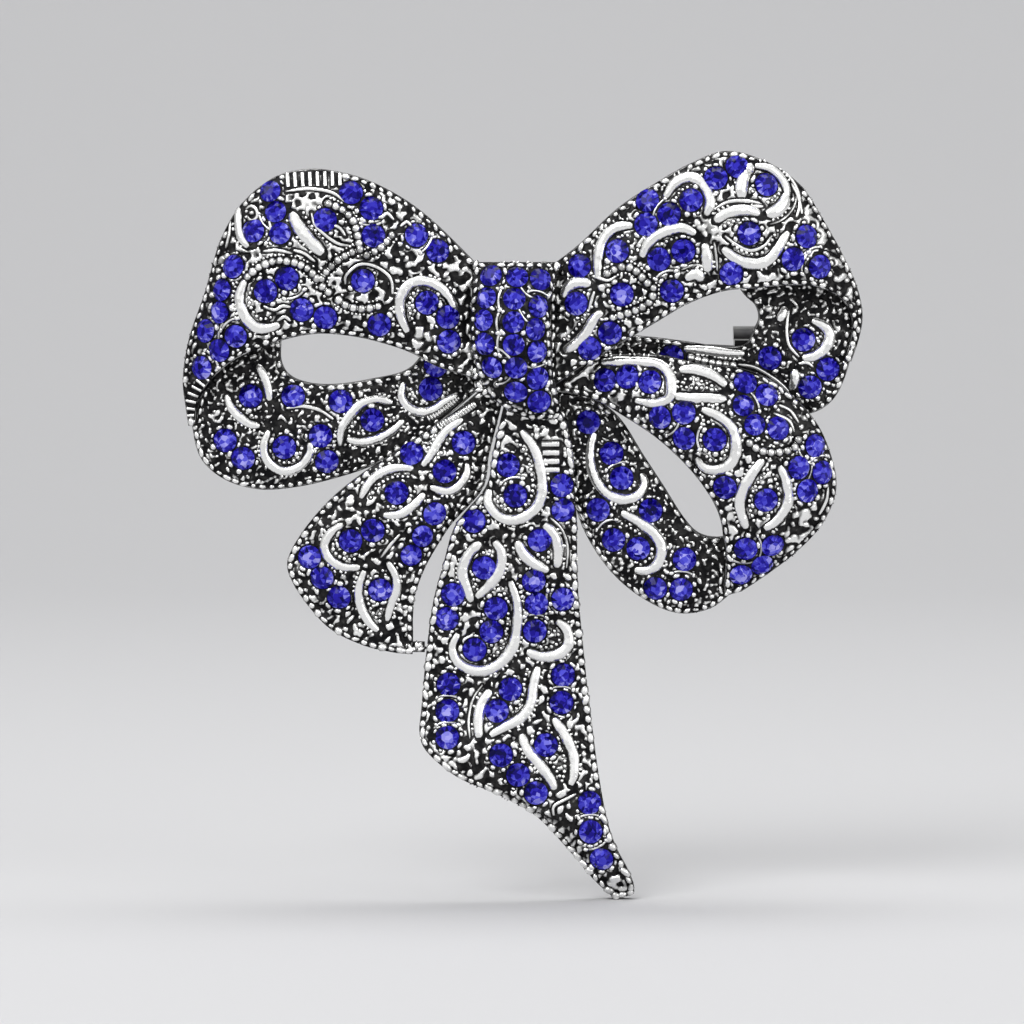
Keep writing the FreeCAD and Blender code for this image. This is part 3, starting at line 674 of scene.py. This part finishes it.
def evenly(points, step):
    total = sum((b - a).length for a, b in zip(points, points[1:]))
    count = max(2, round(total / step))
    gap = total / count
    result, target, walked = [points[0].copy()], gap, 0.0
    for a, b in zip(points, points[1:]):
        length = (b - a).length
        while length > 0 and walked + length >= target - 1e-9 and len(result) < count:
            result.append(a.lerp(b, (target - walked) / length))
            target += gap
        walked += length
    result.append(points[-1].copy())
    return result


def laidOn(skin, line):
    # the flat line dropped on the surface, cut where the surface ends
    runs, run = [], []
    for x, z in line:
        here = skin.touch(x, z)
        if here is not None and run and abs(here[0].y - run[-1][0].y) > relief["jump"]:
            here = None
        if here is None:
            runs.append(run)
            run = []
        else:
            run.append(here)
    runs.append(run)
    return [run for run in runs if len(run) > 3]


def rod(run, middle, end, sink=0.0):
    # a run of surface points as rod points, thickest half way along, its width a little uneven
    points = []
    drift = 1.0
    for index, (place, normal, *_) in enumerate(run):
        swell = max(math.sin(math.pi * index / (len(run) - 1)), 0.0) ** 0.45
        drift += (1.0 - drift) * 0.3 + dice.uniform(-0.05, 0.05)
        points.append((place - normal * sink, (end + (middle - end) * swell) * drift))
    return points


def rodsInto(work, rods, roundness=1):
    # round rods from one curve, thinner where a point's own radius is smaller
    line = bpy.data.curves.new("rods", "CURVE")
    line.dimensions = "3D"
    line.bevel_depth = mm
    line.bevel_resolution = roundness
    line.use_fill_caps = True
    for points in rods:
        spline = line.splines.new("POLY")
        spline.points.add(len(points) - 1)
        for knot, (place, radius) in zip(spline.points, points):
            knot.co = (*place, 1.0)
            knot.radius = radius / mm
    holder = newObject("rods", line)
    mesh = bpy.data.meshes.new_from_object(holder.evaluated_get(bpy.context.evaluated_depsgraph_get()))
    work.from_mesh(mesh)
    bpy.data.objects.remove(holder)
    bpy.data.curves.remove(line)
    bpy.data.meshes.remove(mesh)


def measureLift(work, skin):
    # how far each point stands above the ground, 0 to 1; low points get patina and painted shade
    lift = work.verts.layers.float.get("lift") or work.verts.layers.float.new("lift")
    for vert in work.verts:
        foot, normal, face, far = skin.tree.find_nearest(vert.co)
        vert[lift] = min(max((vert.co - foot).dot(normal) / relief["bright"], 0.0), 1.0)
    for face in work.faces:
        face.smooth = True


def shifted(line, distance):
    result = []
    for index, point in enumerate(line):
        ahead = line[min(index + 1, len(line) - 1)] - line[max(index - 1, 0)]
        across = Vector((-ahead.y, ahead.x)).normalized()
        result.append(point + across * distance)
    return result


def outerSide(line):
    middle = sum(line, Vector((0, 0))) / len(line)
    start = line[len(line) // 2]
    ahead = line[len(line) // 2 + 1] - start
    across = Vector((-ahead.y, ahead.x))
    return 1.0 if across.dot(start - middle) >= 0 else -1.0


def frontEdges(skin):
    # chains of points along the front rims, leaving out the rims of the stone seats
    after = {}
    for edge in skin.work.edges:
        if len(edge.link_faces) != 2:
            continue
        first, second = sorted(edge.link_faces, key=lambda face: face.normal.y)
        if first.normal.y < -0.22 and abs(second.normal.y) < 0.08:
            middle = (edge.verts[0].co + edge.verts[1].co) / 2
            if skin.stoneGap(middle) < keepOff["rims"]:
                continue
            for a, b in (edge.verts, reversed(list(edge.verts))):
                after.setdefault(a, []).append((b, first.normal.copy()))
    chains = []
    while after:
        ends = [vert for vert, links in after.items() if len(links) == 1] or list(after)
        vert = min(ends, key=lambda item: tuple(item.co))
        chain = []
        while vert is not None:
            links = after.pop(vert, [])
            normal = links[0][1] if links else chain[-1][1]
            chain.append((vert.co.copy(), normal))
            follow = [other for other, _ in links if other in after]
            vert = follow[0] if follow else None
        if len(chain) > 2 and sum((b[0] - a[0]).length for a, b in zip(chain, chain[1:])) > 1.2 * mm:
            chains.append(chain)
    return chains


def rimPoints(skin, chain, pitch, inset):
    points = evenly([place for place, _ in chain], pitch)
    result = []
    for index, point in enumerate(points):
        ahead = points[min(index + 1, len(points) - 1)] - points[max(index - 1, 0)]
        across = Vector((-ahead.z, 0, ahead.x))
        if across.length < 1e-7:
            continue
        across.normalize()
        best = None
        for sign in (1, -1):
            spot = point + across * sign * inset
            near = skin.touch(spot.x, spot.z)
            if near is not None and abs(near[0].y - point.y) < 0.8 * mm:
                if best is None or abs(near[0].y - point.y) < abs(best[0].y - point.y):
                    best = near
        if best is not None:
            result.append((best[0], best[1], ahead.normalized()))
    return result


class Kept:
    # flat places that later beads keep off, each with a radius, sorted into square cells

    def __init__(self):
        self.cells = {}
        self.side = 1.25 * mm

    def add(self, run, radius):
        for item in run:
            x, z = item[0].x, item[0].z
            self.cells.setdefault((int(x // self.side), int(z // self.side)), []).append((x, z, radius))

    def free(self, point, radius):
        column, row = int(point.x // self.side), int(point.z // self.side)
        for i in (column - 1, column, column + 1):
            for j in (row - 1, row, row + 1):
                for x, z, size in self.cells.get((i, j), ()):
                    if (x - point.x) ** 2 + (z - point.z) ** 2 < (size + radius) ** 2:
                        return False
        return True


def layCurls(name, skin, kept, thick, thin, beads):
    lines = curls.get(name, {})
    for kind in ("broad", "bold", "slim"):
        middle, end, sink = relief[kind]
        for points in lines.get(kind, []):
            line = smoothLine(points, relief["step"])
            side = outerSide(line)
            for run in laidOn(skin, line):
                thick.append(rod(run, middle, end, sink))
                for item, (_, radius) in zip(run, thick[-1]):
                    kept.add([item], math.sqrt(max(radius ** 2 - sink ** 2, 0.0)) + 0.03 * mm)
            for run in laidOn(skin, shifted(line, side * (middle + relief["wireGap"]))):
                clear = all(skin.stoneGap(place) > keepOff["wire"]
                            and skin.inner(place.x, place.z, 0.3 * mm) for place, _ in run)
                if clear and kind != "slim":
                    thin.append(rod(run, relief["wire"], relief["wireEnd"]))
                    kept.add(run, 0.20 * mm)
            for run in laidOn(skin, evenly(shifted(line, side * middle * 0.9), relief["teethPitch"])):
                for place, normal in run[1:-1]:
                    chosen = dice.random() < relief["teethShare"]
                    if chosen and skin.stoneGap(place) > keepOff["curlGrains"]:
                        size = relief["teeth"] * dice.uniform(0.8, 1.3)
                        addBead(beads, place, normal, size, -0.2, 1.0, 1.2)
            inner = shifted(line, -side * (middle + relief["inlayGap"]))
            for run in laidOn(skin, evenly(inner, relief["inlayPitch"])):
                for place, normal in run[1:-1]:
                    if skin.stoneGap(place) > keepOff["curlGrains"] and kept.free(place, 0.1 * mm):
                        size = relief["inlayBead"] * dice.uniform(0.85, 1.15)
                        addBead(beads, place, normal, size, 0.1, 1.0)
                        kept.add([(place, normal)], 0.18 * mm)
    for points in lines.get("fine", []):
        for run in laidOn(skin, smoothLine(points, relief["step"])):
            thin.append(rod(run, relief["fine"], relief["fineEnd"]))
            kept.add(run, 0.26 * mm)
    for x0, z0, x1, z1, radius in lines.get("bars", []):
        for run in laidOn(skin, smoothLine([(x0, z0), (x1, z1)], relief["step"])):
            thin.append(rod(run, radius * mm, radius * mm))
            kept.add(run, (radius + 0.09) * mm)
    for points in lines.get("hatched", []):
        middle, end, sink = relief["strip"]
        for run in laidOn(skin, smoothLine(points, relief["stripPitch"])):
            thick.append(rod(run, middle, end, sink))
            kept.add(run, middle)
            for (place, normal), (further, _) in zip(run, run[1:]):
                across = normal.cross(further - place)
                top = place + normal * relief["stripRise"]
                addBead(beads, top, normal, relief["stripRib"], -0.1, 0.6, 1.7, across)
    for points in lines.get("pearl", []):
        line = smoothLine(points, relief["pearlPitch"])
        for run in laidOn(skin, line):
            for place, normal in run:
                size = relief["pearl"] * dice.uniform(0.9, 1.08)
                addBead(beads, place, normal, size, -0.15, 0.85, shape=pearlMesh)
            if len(run) > 2:
                thick.append(rod(run, relief["pearlRod"], relief["pearlRod"]))
            kept.add(run, relief["pearl"] + 0.1 * mm)
        for side in (1, -1):
            beside = shifted(line, side * (relief["pearl"] + 0.1 * mm))
            for run in laidOn(skin, evenly(beside, relief["pearlGrainPitch"])):
                for place, normal in run:
                    if skin.stoneGap(place) > keepOff["pearlGrains"] and dice.random() < 0.75:
                        size = relief["pearlGrain"] * dice.uniform(0.8, 1.2)
                        addBead(beads, place, normal, size, 0.0, 1.0)


def edgeBeads(name, skin, kept, beads):
    # a wire along the rims of the loops, and beads beside the rims of every casting
    rods, rims = [], []
    for chain in frontEdges(skin):
        wire = rimPoints(skin, chain, ground["wirePitch"], ground["wireInset"])
        if len(wire) > 3 and name.endswith("loop"):
            rods.append(rod(wire, ground["rimWire"], ground["rimWire"] * 0.7))
        rim = rimPoints(skin, chain, ground["edgePitch"], ground["edgeInset"])
        rims.append(rim)
        for step, (place, normal, ahead) in enumerate(rim):
            if skin.stoneGap(place) < keepOff["edgeBeads"] or not kept.free(place, 0.05 * mm):
                continue
            size = ground["edgeBead"] * texture[name].get("edge", 1.0) * dice.uniform(0.7, 1.25)
            if step % 2 == 0:
                tilt = ahead + normal.cross(ahead) * dice.uniform(-0.5, 0.5)
                addBead(beads, place, normal, size, 0.1, 0.9, dice.uniform(1.05, 1.5), tilt)
    for rim in rims:
        kept.add(rim, 0.22 * mm)
    wires = bmesh.new()
    rodsInto(wires, rods, 0)
    lift = wires.verts.layers.float.new("lift")
    for vert in wires.verts:
        vert[lift] = ground["wireLift"]
    mesh = meshFrom(wires, "wires")
    beads.from_mesh(mesh)
    bpy.data.meshes.remove(mesh)


def stoneRings(skin, kept, beads):
    for foot, axis in skin.stones:
        start = dice.uniform(0, 6.28)
        side = axis.orthogonal().normalized()
        for step in range(ground["ringCount"]):
            turned = Matrix.Rotation(start + 2 * math.pi * step / ground["ringCount"], 3, axis) @ side
            spot = foot + turned * ground["ringRadius"]
            here = skin.touch(spot.x, spot.z)
            if here is None or abs(here[0].y - foot.y) > 1.2 * mm:
                continue
            clear = skin.stoneGap(here[0]) > keepOff["rings"] and kept.free(here[0], 0.06 * mm)
            if clear and dice.random() < ground["ringShare"]:
                size = ground["ringBead"] * dice.uniform(0.65, 1.3)
                addBead(beads, *here, size, -0.1, 1.1, dice.uniform(1.0, 1.4), axis.cross(turned))
                kept.add([here], size + 0.02 * mm)


def stoneLines(skin, kept, thin, beads):
    # a thin line set across between two stones that stand close together
    for index, (foot, axis) in enumerate(skin.stones):
        for other, _ in skin.stones[index + 1:]:
            between = other - foot
            if not ground["lineFrom"] < between.length < ground["lineTo"]:
                continue
            middle = (foot + other) / 2
            across = axis.cross(between).normalized()
            flat = Vector((across.x, across.z))
            bow = Vector((between.x, between.z)) * dice.choice((0.1, -0.1))
            centre = Vector((middle.x, middle.z))
            line = [centre + flat * step * relief["step"] + bow * (1 - (step / 5) ** 2)
                    for step in range(-5, 6)]
            if not kept.free(middle, 0.05 * mm):
                continue
            for run in laidOn(skin, line):
                thin.append(rod(run, relief["wire"], relief["wire"]))
                kept.add(run, 0.17 * mm)
                for place, normal in (run[0], run[-1]):
                    if skin.stoneGap(place) > keepOff["rings"]:
                        size = ground["lineBead"] * dice.uniform(0.8, 1.2)
                        addBead(beads, place, normal, size, -0.1, 1.0, 1.2)


# the cast ground of each casting, in millimetres: lace is where a net takes over (x, z, reach), rear is
# the y behind which the grains are smaller, edge makes the edge beads larger
texture = {
    "knot": {"pitch": 0.60, "lump": 0.24, "lace": []},
    "left_loop": {"pitch": 0.68, "lump": 0.285, "lace": [(-19.5, 10.5, 7.5)], "rear": -7.4},
    "right_upper_loop": {"pitch": 0.68, "lump": 0.29, "lace": [(22.0, 13.5, 6.0)], "rear": -7.6},
    "right_lower_loop": {"pitch": 0.66, "lump": 0.275, "lace": [], "rear": -7.2},
    "left_tail": {"pitch": 0.60, "lump": 0.235, "lace": [], "edge": 1.15},
    "centre_tail": {"pitch": 0.64, "lump": 0.265, "lace": [], "edge": 1.3},
}


def scattered(u, w, pitch, lump):
    # for each place: the summed lumps about it, and how far its nearest and second nearest lump are
    offsets = np.random.RandomState(5).uniform(-0.42, 0.42, (64, 64, 2))
    strengths = np.random.RandomState(6).uniform(0.7, 1.25, (64, 64))
    field = np.zeros_like(u)
    nearest = np.full_like(u, 9.0)
    second = np.full_like(u, 9.0)
    column, row = np.floor(u / pitch).astype(int), np.floor(w / pitch).astype(int)
    for across in (-1, 0, 1):
        for along in (-1, 0, 1):
            i, j = (column + across) % 64, (row + along) % 64
            away = np.hypot((column + across + 0.5 + offsets[i, j, 0]) * pitch - u,
                            (row + along + 0.5 + offsets[i, j, 1]) * pitch - w)
            field += strengths[i, j] * np.exp(-(away / lump) ** 2)
            second = np.minimum(second, np.maximum(nearest, away))
            nearest = np.minimum(nearest, away)
    return field, nearest, second


def castGround(x, y, z, style):
    # height of the cast ground from 0 to 1: lumps that run together, and in places a net round pits
    u = x + 0.10 * np.sin(4.1 * z + 0.7) + 0.05 * np.sin(9.7 * x + 3.0 * z)
    w = z + 0.10 * np.sin(3.7 * x + 1.9) + 0.05 * np.sin(8.9 * z - 4.0 * x)
    field, _, _ = scattered(u, w, style["pitch"], style["lump"])
    if "rear" in style:
        small, _, _ = scattered(u, w, ground["rearPitch"], ground["rearLump"])
        field = np.where(y > style["rear"], small, field)
    lumps = np.clip((field - ground["melt"]) / 0.5, -0.2, 1.0)
    _, nearest, second = scattered(u, w, ground["pit"], 0.3)
    width = ground["rib"] * (1.0 + 0.35 * np.sin(2.3 * x + 1.0) * np.sin(2.9 * z))
    net = np.clip((1.0 - (second - nearest) / width) * 1.4, -0.2, 1.0)
    share = np.zeros_like(x)
    for middleX, middleZ, reach in style["lace"]:
        share = np.maximum(share, np.clip(reach - np.hypot(x - middleX, z - middleZ), 0.0, 1.0))
    height = lumps * (1.0 - share) + net * share
    return np.sign(height) * np.abs(height) ** 0.75


def clearOf(kept, points):
    # how far each point is from the nearest kept place, up to a limit
    spots = np.array([spot for cell in kept.cells.values() for spot in cell])
    result = np.full(len(points), ground["clear"])
    order = np.argsort(points[:, 0])
    sortedX = points[order, 0]
    for x, z, radius in spots:
        reach = radius + ground["clear"]
        first, last = np.searchsorted(sortedX, (x - reach, x + reach))
        chosen = order[first:last]
        away = np.hypot(points[chosen, 0] - x, points[chosen, 2] - z) - radius
        result[chosen] = np.minimum(result[chosen], away)
    return result


def stoneGaps(skin, points):
    result = np.full(len(points), 1.0)
    for foot, axis in skin.stones:
        across = points - np.array(foot)
        along = across @ np.array(axis)
        gap = np.linalg.norm(across - along[:, None] * np.array(axis), axis=1)
        result = np.where(np.abs(along) < stone["reach"], np.minimum(result, gap), result)
    return result


def groundRelief(name, skin, kept):
    # a fine grid laid on the front of the casting and raised into lumps
    low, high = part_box(name)
    size, middle = high - low, (low + high) / 2
    work = bmesh.new()
    columns, rows = int(size.x / ground["grid"]), int(size.z / ground["grid"])
    bmesh.ops.create_grid(work, x_segments=columns, y_segments=rows, size=0.5)
    upright = Matrix.Diagonal((size.x, 1, size.z, 1)) @ Matrix.Rotation(math.pi / 2, 4, "X")
    place = Matrix.Translation((middle.x, 0, middle.z)) @ upright
    bmesh.ops.transform(work, matrix=place, verts=work.verts)
    lift = work.verts.layers.float.new("lift")
    out = work.verts.layers.float_vector.new("out")
    found = {vert: skin.touch(vert.co.x, vert.co.z) for vert in work.verts}
    bmesh.ops.delete(work, geom=[vert for vert, here in found.items() if here is None], context="VERTS")
    verts = work.verts[:]
    points = np.array([found[vert][0][:] for vert in verts])
    height = castGround(*(points.T / mm), texture[name])
    room = np.minimum(clearOf(kept, points), stoneGaps(skin, points) - keepOff["ground"])
    room /= ground["clear"]
    height = np.minimum(height, np.sign(room) * np.sqrt(np.abs(np.clip(room, -1, 1))))
    for vert, rise in zip(verts, height):
        place, normal = found[vert]
        vert.co = place - normal * ground["depth"]
        vert[lift] = rise
        vert[out] = normal
    flat = [face for face in work.faces
            if max(vert[lift] for vert in face.verts) <= 0
            or max(vert.co.y for vert in face.verts) - min(vert.co.y for vert in face.verts) > 0.35 * mm]
    bmesh.ops.delete(work, geom=flat, context="FACES")
    raised = bmesh.ops.extrude_face_region(work, geom=work.faces[:], use_keep_orig=True)["geom"]
    for vert in vertsOf(raised):
        vert.co += vert[out] * (ground["depth"] + max(vert[lift], -0.15) * ground["relief"])
    # the relief's height becomes its lift: low parts take the black of patina and painted shade
    for vert in work.verts:
        vert[lift] = 0.5 + 0.5 * min(max(vert[lift], 0.0), 1.0)
    for face in work.faces:
        face.smooth = True
    bmesh.ops.recalc_face_normals(work, faces=work.faces)
    work.verts.layers.float_vector.remove(out)
    finishPiece(work, name + "_relief", grainMetal)


def dress(name):
    skin = skins[name]
    kept = Kept()
    thick, thin = [], []
    beads = bmesh.new()
    beads.verts.layers.float.new("lift")
    layCurls(name, skin, kept, thick, thin, beads)
    edgeBeads(name, skin, kept, beads)
    stoneLines(skin, kept, thin, beads)
    stoneRings(skin, kept, beads)
    groundRelief(name, skin, kept)
    if thick or thin:
        work = bmesh.new()
        rodsInto(work, thick, 2)
        rodsInto(work, thin, 1)
        measureLift(work, skin)
        finishPiece(work, name + "_curls", curlMetal)
    finishPiece(beads, name + "_grains", grainMetal)
    print(name, "dressed")


for name in castings:
    dress(name)


studio = {
    # what the camera looks at, and how wide the picture is there
    "middle": Vector((-0.45 * mm, -6.0 * mm, -14.4 * mm)),
    "distance": 0.62,
    "elevation": 4.0,
    "frame": 92.16 * mm,
    "floor": (0.62, 0.62, 0.63),
    "floorReach": 1.2,
    "wallHeight": 1.6,
    "sweepShift": -0.52,         # keeps the wall clear of every view
    "bend": 0.35,
    "world": 0.35,
    "mirroredSides": 0.40,       # what the metal sees around it
    "mirroredFront": 1.0,
    "mirroredTop": 0.9,
}


def studioSweep():
    # floor and wall in one, joined by a wide bend
    work = bmesh.new()
    bmesh.ops.create_grid(work, x_segments=1, y_segments=1, size=studio["floorReach"])
    rear = [edge for edge in work.edges if all(vert.co.y > 0 for vert in edge.verts)]
    wall = vertsOf(bmesh.ops.extrude_edge_only(work, edges=rear)["geom"])
    bmesh.ops.translate(work, verts=wall, vec=(0, 0, studio["wallHeight"]))
    bmesh.ops.translate(work, verts=work.verts, vec=(0, studio["sweepShift"], 0))
    bmesh.ops.bevel(work, geom=rear, offset=studio["bend"], segments=16, profile=0.5, affect="EDGES",
                    material=-1)
    bmesh.ops.translate(work, verts=work.verts, vec=(0, 0, cadBox[0][2]))
    bmesh.ops.recalc_face_normals(work, faces=work.faces)
    for face in work.faces:
        face.smooth = True
    obj = newObject("studioSweep", meshFrom(work, "studioSweep"))
    material, tree, shader = newMaterial("studioPaper")
    feed(tree, shader, {"Base Color": (*studio["floor"], 1.0), "Roughness": 0.9})
    paint(obj, material)


def softbox(name, place, aim, size, power):
    lamp = bpy.data.lights.new(name, "AREA")
    lamp.shape = "RECTANGLE"
    lamp.size, lamp.size_y = size
    lamp.energy = power
    obj = newObject(name, lamp)
    obj.location = place
    obj.rotation_euler = (Vector(aim) - Vector(place)).to_track_quat("-Z", "Y").to_euler()


def setCamera():
    lens = bpy.data.cameras.new("camera")
    lens.sensor_width = 36.0
    lens.lens = 36.0 * studio["distance"] / studio["frame"]
    lens.clip_start = 0.01
    obj = newObject("camera", lens)
    tilt = math.radians(studio["elevation"])
    away = Vector((0, -math.cos(tilt), math.sin(tilt))) * studio["distance"]
    obj.location = studio["middle"] + away
    obj.rotation_euler = (-away).to_track_quat("-Z", "Y").to_euler()
    bpy.context.scene.camera = obj


def studioAir():
    # even light for the scene; the camera and the shiny metal see brighter cards in front and above
    world = bpy.data.worlds.new("studioAir")
    world.use_nodes = True
    air = world.node_tree
    heading = addNode(air, "ShaderNodeTexCoord").outputs["Generated"]
    parts = addNode(air, "ShaderNodeSeparateXYZ", {"Vector": heading})

    def spread(axis, start, end, brightness):
        node = addNode(air, "ShaderNodeMapRange",
                       {"Value": parts.outputs[axis], "From Min": start, "From Max": end,
                        "To Min": studio["mirroredSides"], "To Max": brightness})
        return node.outputs["Result"]

    rayKind = addNode(air, "ShaderNodeLightPath")
    seen = maths(air, "MAXIMUM", rayKind.outputs["Is Camera Ray"], rayKind.outputs["Is Glossy Ray"])
    frontCard = spread("Y", 0.1, -0.6, studio["mirroredFront"])
    topCard = spread("Z", 0.2, 0.8, studio["mirroredTop"])
    mirrored = maths(air, "MAXIMUM", frontCard, topCard)
    strength = addNode(air, "ShaderNodeMix", {"Factor": seen, "A": studio["world"], "B": mirrored},
                       data_type="FLOAT")
    feed(air, air.nodes["Background"], {"Color": (1, 1, 1, 1), "Strength": strength.outputs["Result"]})
    bpy.context.scene.world = world


studioSweep()
softbox("keyLight", (-0.22, -0.34, 0.36), (0, 0, 0), (0.28, 0.28), 1.5)
softbox("fillLight", (0.36, -0.30, 0.10), (0, 0, -0.01), (0.30, 0.40), 0.7)
softbox("topLight", (0.05, 0.06, 0.45), (0, 0, 0), (0.35, 0.30), 0.9)
softbox("wallLight", (0.0, 0.15, 0.60), (0, 0.60, 0.0), (0.70, 0.30), 1.3)
studioAir()
bpy.context.scene.view_settings.view_transform = "Standard"
setCamera()
print("studio set")
